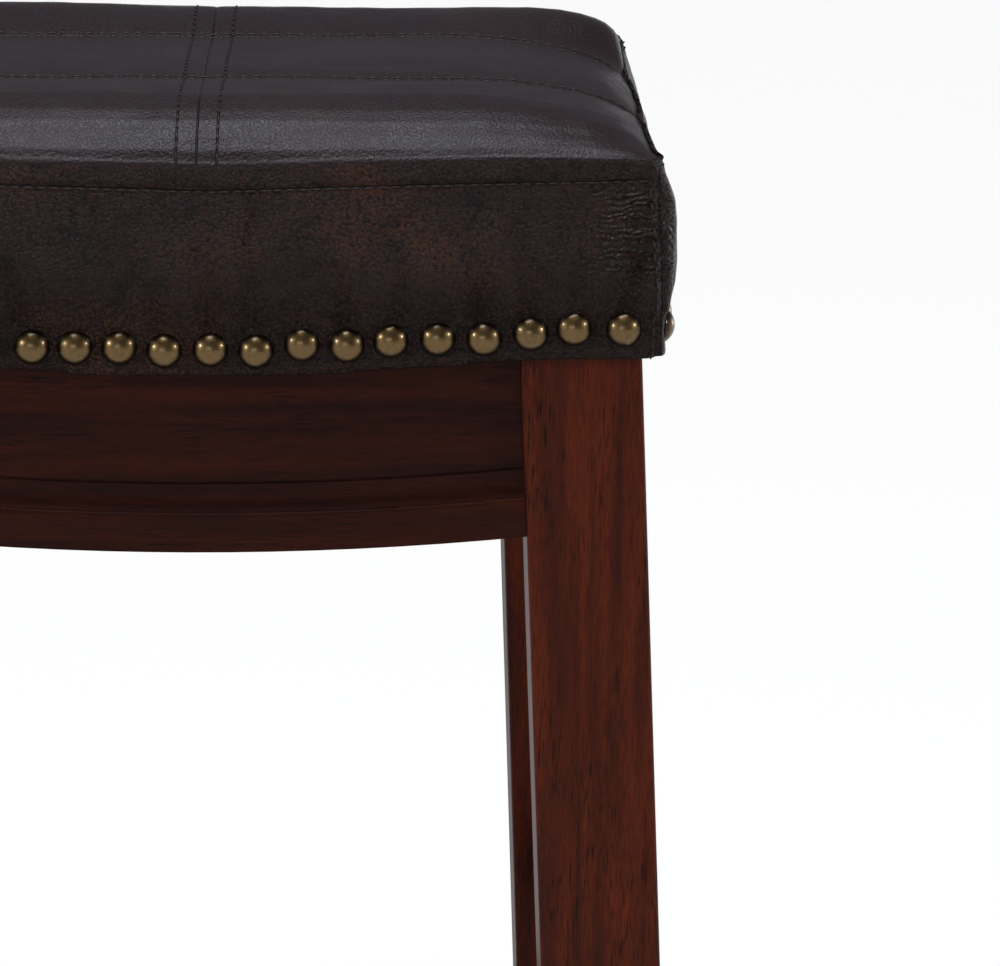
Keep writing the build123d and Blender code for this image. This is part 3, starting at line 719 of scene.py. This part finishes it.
def crownHeight(x, y, z, newX, rimX):
    # the crown keeps one level along its seams and falls to the end rims
    ax, ay = np.abs(x), np.abs(y)
    middle = (ax < cushion["crownMiddle"]) & (z > seat["rim"] + 1)
    across, height = y[middle], (z - rimHeight(x))[middle]
    knots, step = cushion["crownKnots"], cushion["crownStep"]
    places = np.arange(knots[0], knots[-1] + 1, step)
    crown = np.array([np.median(height[np.abs(across - p) < cushion["crownWindow"]]) for p in places])
    level = np.interp(places, knots, np.interp(knots, places, crown))
    crown = crown + (level - crown) * cushion["rowFlatness"] * (np.abs(places) < cushion["rowEdge"])
    tall, back, wide = cushion["backCrown"]
    profile = np.interp(y, places, crown) + tall * bell(y - back, wide)
    tall, near, far, wide = cushion["leftCrest"]
    trim = np.interp(x, cushion["crownPlaces"], cushion["crownTrim"])
    trim += tall * ease(0, near, -x) * (1 - ease(near, far, -x)) * bell(y - back, wide)
    share = np.clip(newX / rimX, 0, 1)
    frontFall = np.interp(share, cushion["fallPlaces"], cushion["frontFall"])
    backFall = np.interp(share, cushion["fallPlaces"], cushion["backFall"])
    fall = frontFall + (backFall - frontFall) * ease(55, 95, y)
    top = seat["rim"] + profile + trim * ease(2, 20, profile)
    top += (foldHeight(x) - seat["rim"]) * (1 - ease(0, 24, profile))
    newZ = top + (np.minimum(endRim, top) - top) * fall
    onTop = ease(0.5, 3.5, z - rimHeight(x))
    newZ = z + (newZ - z) * onTop
    # the folds rise a little faster than the rim line towards the ends
    lift = (foldHeight(x) - rimHeight(x)) * ease(540, 574, z) * ease(100, 140, ay)
    lift *= 1 - ease(205, 221, newX) * ease(583, 590, newZ)
    return newZ + lift * (1 - onTop)


def seamDepth(x, y, z, newX, newZ, rimX, up, frontWall):
    # sewn lines: channels and middle seam on top, wrap, end rim and corner seams on the walls
    ax, ay = np.abs(x), np.abs(y)
    fromRow, fromMiddle = ay - seat["rowSeam"], x - middleSeam(y)
    underWrap = newZ - foldHeight(x) + seat["wrapDrop"]
    depth = up * (groove(fromRow, "rowGroove") + groove(fromRow, "rowValley"))
    aboveWrap = ease(-1, 1, underWrap) * (1 - ease(140, 147, ay) * 0.5)
    depth += aboveWrap * (groove(fromMiddle, "centreGroove") + groove(fromMiddle, "centreValley") * up)
    depth += frontWall * groove(underWrap, "wrapGroove")
    depth += ease(-12, -4, newX - rimX) * groove(newZ - endRim, "rimGroove") * (1 - 0.6 * frontWall)
    diagonal = (ax - seat["halfLength"]) - (ay - seat["halfWidth"])
    cornerBand = ease(seat["bottom"] - 4, seat["bottom"] + 4, z) * (1 - ease(seat["rim"], seat["rim"] + 8, z))
    cornerBand *= ease(205, 214, ax) * ease(130, 140, ay)
    return depth + cornerBand * groove(diagonal / math.sqrt(2), "cornerGroove")


def nailDepth(x, y, aboveNail, frontWall, sideWall):
    # the nails pinch the cover, which puffs out again between and above them
    draw = random.Random(7)
    reachUp = ease(6, 12, aboveNail) * (1 - ease(18, 54, aboveNail))
    depth = -np.maximum(frontWall, sideWall) * cushion["nailPuff"] * reachUp
    rows = ((seat["halfLength"], x, y, frontWall, 0.15, 4.6, cushion["nailLean"]),
            (seat["halfWidth"], y, x, sideWall, 0.4, 5.5, None))   # weakest pull, width and lean at the end
    for half, along, across, wall, weakest, width, leaning in rows:
        for offset in nailOffsets(half):
            for side in (-1, 1):
                pull = cushion["nailPull"] * draw.uniform(weakest, 1.3)
                lean = draw.uniform(-leaning, leaning) * aboveNail if leaning else 0
                onWall = wall * (np.sign(across) == side)
                depth += onWall * pull * reachUp * bell(along - offset - lean, width)
                depth += onWall * groove(np.hypot(along - offset, aboveNail), "nailDent")
    return depth


def wornDepth(x, y, z, shaped, bottom, frontWall):
    # slow waves of hand-filled leather, quiet where the board or the nails hold it, and creases
    depth = np.zeros(len(x))
    for size, height in cushion["waves"]:
        field = np.array([noise.noise(Vector(point) / size) for point in shaped])
        depth += ease(26, 44, z - bottom) * height * field
    for x0, z0, x1, z1, deep, wide in cushion["frontCreases"]:
        run = np.hypot(x1 - x0, z1 - z0)
        along = ((x - x0) * (x1 - x0) + (z - z0) * (z1 - z0)) / run
        aside = ((x - x0) * (z1 - z0) - (z - z0) * (x1 - x0)) / run + 1.2 * np.sin(along / 4.0)
        ends = ease(-3, 6, along) * (1 - ease(run - 6, run + 3, along))
        depth += frontWall * (y < 0) * deep * bell(aside, wide) * ends
    # longer folds that fan out from the top corners of the front and the back
    deep, pitch, slant = cushion["cornerFolds"]
    ax = np.abs(x)
    fold = np.sin(2 * math.pi * (z + slant * (ax - 200)) / pitch)
    return depth + frontWall * deep * fold * ease(188, 214, ax) * ease(512, 530, z) * (1 - ease(562, 572, z))


def shapeSkin(skin):
    # the walls and the crown are drawn first, then all that is cut in along the surface's own normal, in mm
    points, normals = readPoints(skin) / mm, readPoints(skin, "normal")
    x, y, z = points.T.copy()
    bottom = seat["bottom"] + saddle(x)
    facing = cushion["facing"]
    up = ease(*facing["up"], normals[:, 2])
    frontWall = ease(*facing["wall"], np.abs(normals[:, 1]))
    sideWall = ease(*facing["wall"], np.abs(normals[:, 0]))
    newX, newY, rimX = wallReach(x, y, z, normals)
    newZ = crownHeight(x, y, z, newX, rimX)
    shaped = np.column_stack([np.sign(x) * newX, np.sign(y) * newY, newZ])
    depth = seamDepth(x, y, z, newX, newZ, rimX, up, frontWall)
    depth += nailDepth(x, y, z - bottom - seat["nailLine"], frontWall, sideWall)
    depth += wornDepth(x, y, z, shaped, bottom, frontWall)
    most = cushion["deepest"] + cushion["deeperAboveBoard"] * ease(*cushion["boardTop"], z - bottom)
    shaped -= normals * np.minimum(depth, most)[:, None]   # the board's edge stays covered
    # nothing goes below the wrapped edge, where the frame starts
    shaped[:, 2] = np.maximum(shaped[:, 2], seat["bottom"] + saddle(shaped[:, 0]))
    writePoints(skin, shaped * mm)

    # where the surface is top, how far the walls are from their own seam, and how tight the corners pull
    fold = foldHeight(x)
    paintPoints(skin, "topSide", ease(*facing["top"], normals[:, 2]) * ease(0, 2, newZ - fold))
    facesFront = np.abs(normals[:, 1]) > np.abs(normals[:, 0])
    offset = newZ - np.where(facesFront, fold - seat["wrapDrop"], endRim)
    paintPoints(skin, "edgeOffset", np.clip(offset, -20, 20))
    pulled = frontWall * ease(176, 218, np.abs(x)) * (1 - ease(566, 574, z))
    pulled += sideWall * ease(118, 146, np.abs(y)) * (1 - ease(570, 580, z)) * 0.7
    paintPoints(skin, "cornerPull", np.clip(pulled * ease(515, 535, z), 0, 1))


def openUnderside(skin):
    # the leather ends 25 mm in under the board
    reachX, reachY = (seat["halfLength"] - seat["flange"]) * mm, (seat["halfWidth"] - seat["flange"]) * mm
    low = (seat["bottom"] + seat["saddleRise"] + 2) * mm
    chosen = []
    for face in skin.data.polygons:
        x, y, z = face.center
        chosen.append(face.normal.z < -0.7 and z < low and abs(x) < reachX and abs(y) < reachY)
    pick(skin, "FACE", chosen)
    bpy.ops.mesh.delete(type="FACE")
    bpy.ops.object.mode_set(mode="OBJECT")
    applyModifier(skin, "SOLIDIFY", thickness=cushion["thickness"] * mm, offset=-1.0)


def softenCorners(skin):
    # the four top corners, where three seams meet, are rubbed round
    x, y, z = np.abs(readPoints(skin) / mm).T
    fromX, fromY, fromZ = cushion["cornerFrom"]
    pick(skin, "VERT", (x > fromX) & (y > fromY) & (z > fromZ))
    bpy.ops.mesh.vertices_smooth(factor=0.5, repeat=cushion["cornerSmoothing"])
    bpy.ops.object.mode_set(mode="OBJECT")


seatCover = joinedSkin()
keepOuterShell(seatCover)
print("cover remeshed:", len(seatCover.data.vertices), "points")
swell(seatCover)
print("cover swelled")
applyModifier(seatCover, "SUBSURF", levels=1, render_levels=1)
shapeSkin(seatCover)
softenCorners(seatCover)
skinTree = BVHTree.FromPolygons([v.co.copy() for v in seatCover.data.vertices],
                                [tuple(p.vertices) for p in seatCover.data.polygons])
openUnderside(seatCover)
makeActive(seatCover)
bpy.ops.object.shade_smooth()
seatCover.data.materials.append(leatherFinish)
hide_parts(*[name for name in nodes if name.startswith(("top_patch", "boxing", "seat_foam"))])
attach(seatCover, "root")
print("cover shaped:", len(seatCover.data.polygons), "faces")


# Stitching, laid on the finished cover

def modelStitch():
    clearSelection()
    bpy.ops.mesh.primitive_uv_sphere_add(segments=6, ring_count=5, radius=0.5 * mm,
                                         rotation=(0, math.pi / 2, 0))
    piece = bpy.context.active_object
    applyPlace(piece)
    piece.scale = (stitch["length"], stitch["thickness"], stitch["thickness"] * 0.8)
    applyPlace(piece)
    bpy.ops.object.shade_smooth()
    return piece


def onSkin(start, direction):
    hit, normal, _, _ = skinTree.ray_cast(Vector(start) * mm, Vector(direction).normalized())
    return hit, normal


def stitchRow(starts, direction):
    # starts is a fine chain of points beside the seam; stitches follow it at an even pitch
    hits = [onSkin(start, direction) for start in starts]
    chain = [(hit, normal) for hit, normal in hits if hit is not None]
    places, travelled, due = [], 0.0, 0.0
    for (near, normal), (far, _) in zip(chain, chain[1:]):
        step = (far - near).length
        if step > stitch["mostGap"] * mm:
            continue
        travelled += step
        if travelled >= due:
            due += stitch["pitch"] * mm
            along = (far - near).normalized()
            side = normal.cross(along).normalized()
            out = along.cross(side)
            turned = Matrix((along, side, out)).transposed().to_4x4()
            places.append(Matrix.Translation(near + out * stitch["lift"] * mm) @ turned)
    return places


def span(low, high, step=0.8):
    count = int((high - low) / step)
    return [low + (high - low) * i / count for i in range(count + 1)]


def sewTop():
    # two rows beside each channel, and the double needle rows beside the middle seam
    places = []
    for side in (-1, 1):
        for shift in (-stitch["rowApart"], stitch["rowApart"]):
            places += stitchRow([(x, side * seat["rowSeam"] + shift, stitch["above"])
                                 for x in span(-stitch["rowReach"], stitch["rowReach"])], (0, 0, -1))
        places += stitchRow([(middleSeam(y) + side * stitch["needleApart"], y, stitch["above"])
                             for y in span(-stitch["crossReach"], stitch["crossReach"])], (0, 0, -1))
    return places


def sewWalls():
    # one row under each wrap and end rim, and one beside each corner seam
    places, away = [], stitch["away"]
    for side in (-1, 1):
        places += stitchRow([(x, side * away, float(foldHeight(x)) - seat["wrapDrop"] - stitch["underWrap"])
                             for x in span(-stitch["wrapReach"], stitch["wrapReach"])], (0, -side, 0))
        places += stitchRow([(side * away, y, endRim - stitch["underRim"])
                             for y in span(-stitch["crossReach"], stitch["crossReach"])], (-side, 0, 0))
        for end in (-1, 1):
            x = side * (seat["halfLength"] + away / 2 - stitch["besideCorner"])
            y = end * (seat["halfWidth"] + away / 2 + stitch["besideCorner"])
            low = seat["bottom"] + seat["saddleRise"] + 2
            places += stitchRow([(x, y, z) for z in span(low, stitch["cornerTop"])], (-side, -end, 0))
    return places


stitchPiece = modelStitch()
for rowName, places in (("topStitching", sewTop()), ("wallStitching", sewWalls())):
    stitching = joinCopies(rowName, [stitchPiece.data] * len(places), places)
    stitching.data.materials.append(threadFinish)
    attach(stitching, "root")
    print(rowName, len(places), "stitches")
remove(stitchPiece)


# Dome nails

nailHead = {
    "radius": 8.9, "height": 5.4, "segments": 20, "rings": 24, "jitter": 0.7, "sink": -0.1,   # mm
    "tilt": 0.05, "patinaReach": (0.55, 1.0), "patinaShare": 0.9, "away": 400, "feelers": (-5, 0, 5),
    # the front row is driven a little unevenly from the left quarter to the right end
    "frontAlong": (2.4, 1.0, 0.3, -0.1, 0.2, 0.1, 0.2, -0.1, -1.0, -0.3, 0.1, 0.5, -0.6, 1.6),
    "frontUp": (-1.4, -0.2, 0.7, -0.4, 0.3, -0.7, 2.0, 0.5, 1.6, 0.8, -0.9, 0.5, 2.2, 1.2),
}


def modelNail():
    # a dome cut from a sphere, with its edge turned in, on a short square shank
    radius = (nailHead["radius"] ** 2 + nailHead["height"] ** 2) / (2 * nailHead["height"])
    clearSelection()
    bpy.ops.mesh.primitive_uv_sphere_add(segments=nailHead["segments"], ring_count=nailHead["rings"],
                                         radius=radius * mm,
                                         location=(0, 0, (nailHead["height"] - radius) * mm))
    nail = bpy.context.active_object
    applyPlace(nail)
    bpy.ops.object.mode_set(mode="EDIT")
    bpy.ops.mesh.select_all(action="SELECT")
    bpy.ops.mesh.bisect(plane_co=(0, 0, 0), plane_no=(0, 0, 1), clear_inner=True, use_fill=False)
    bpy.ops.object.mode_set(mode="OBJECT")
    for edge in nail.data.edges:
        edge.select = all(abs(nail.data.vertices[i].co.z) < 0.01 * mm for i in edge.vertices)
    bpy.ops.object.mode_set(mode="EDIT")
    bpy.ops.mesh.select_mode(type="EDGE")
    bpy.ops.mesh.extrude_region_move(TRANSFORM_OT_translate={"value": (0, 0, -0.35 * mm)})
    bpy.ops.transform.resize(value=(0.97, 0.97, 1))
    bpy.ops.mesh.extrude_region_move()
    bpy.ops.transform.resize(value=(0.5, 0.5, 1))
    bpy.ops.mesh.edge_face_add()
    bpy.ops.mesh.select_all(action="SELECT")
    bpy.ops.mesh.normals_make_consistent(inside=False)
    bpy.ops.object.mode_set(mode="OBJECT")
    bpy.ops.object.shade_smooth()
    reach = np.linalg.norm(readPoints(nail)[:, :2], axis=1) / (nailHead["radius"] * mm)
    paintPoints(nail, "rim", ease(*nailHead["patinaReach"], reach) * nailHead["patinaShare"])
    return nail


def nailRow(template, side):
    # each head sits on the cover where its CAD nail does, a little off line as when driven by hand
    drift = random.Random(len(side) + ord(side[0]))
    places = []
    facing = {"front": (0, -1), "back": (0, 1), "left": (-1, 0), "right": (1, 0)}[side]
    out = Vector((facing[0], facing[1], 0))
    along = Vector((-facing[1], facing[0], 0))
    turned = Matrix((along, Vector((0, 0, 1)), out)).transposed().to_4x4()
    reach = seat["halfLength"] if facing[1] else seat["halfWidth"]
    offsets = nailOffsets(reach)
    for index, offset in enumerate(offsets):
        shift, lift = (drift.uniform(-1, 1) * nailHead["jitter"] for _ in range(2))
        known = index - len(offsets) + len(nailHead["frontAlong"])
        if side == "front" and known >= 0:
            shift, lift = nailHead["frontAlong"][known], nailHead["frontUp"][known]
        middle = along * (offset + shift)
        level = float(saddle(offset if facing[1] else seat["halfLength"]))
        middle.z = seat["bottom"] + seat["nailLine"] + lift + level
        starts = [middle + along * feeler + out * nailHead["away"] for feeler in nailHead["feelers"]]
        middle += out * (max((onSkin(start, -out)[0] / mm).dot(out) for start in starts) - nailHead["sink"])
        tip = Matrix.Rotation(drift.uniform(-nailHead["tilt"], nailHead["tilt"]), 4, along)
        places.append(Matrix.Translation(middle * mm) @ tip @ turned)
    return joinCopies(f"nailHeads{side.capitalize()}", [template.data] * len(places), places)


nailPiece = modelNail()
for side in ("front", "back", "left", "right"):
    row = nailRow(nailPiece, side)
    row.data.materials.append(brassFinish)
    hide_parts(f"nails_{side}")
    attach(row, "root")
remove(nailPiece)
print("nails set")


# Dust cloth under the board

dustCloth = {"halfLength": 195.0, "halfWidth": 122.0, "cornerSum": 221.4, "thickness": 0.6,
             "lift": 2.15, "sag": 0.5}   # mm


def makeDustCloth():
    clearSelection()
    bpy.ops.mesh.primitive_grid_add(x_subdivisions=78, y_subdivisions=48, size=1)
    cloth = bpy.context.active_object
    cloth.name = "dustCloth"
    cloth.scale = (2 * dustCloth["halfLength"] * mm, 2 * dustCloth["halfWidth"] * mm, 1)
    applyPlace(cloth)
    bpy.ops.object.mode_set(mode="EDIT")
    for sx in (-1, 1):
        for sy in (-1, 1):
            bpy.ops.mesh.select_all(action="SELECT")
            bpy.ops.mesh.bisect(plane_co=(sx * dustCloth["cornerSum"] * mm, 0, 0), plane_no=(sx, sy, 0),
                                clear_outer=True)
    bpy.ops.object.mode_set(mode="OBJECT")
    points = readPoints(cloth)
    x, y = points[:, 0] / mm, points[:, 1] / mm
    sag = np.clip(1 - (x / dustCloth["halfLength"]) ** 2, 0, 1)
    sag *= np.clip(1 - (y / dustCloth["halfWidth"]) ** 2, 0, 1) * dustCloth["sag"]
    points[:, 2] = (seat["bottom"] + saddle(x) + dustCloth["lift"] - sag) * mm
    writePoints(cloth, points)
    applyModifier(cloth, "SOLIDIFY", thickness=dustCloth["thickness"] * mm, offset=-1.0)
    makeActive(cloth)
    bpy.ops.object.shade_smooth_by_angle(angle=math.radians(40))
    cloth.data.materials.append(clothFinish)
    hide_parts("dust_cover")
    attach(cloth, "root")
    return cloth


makeDustCloth()
print("dust cloth made")
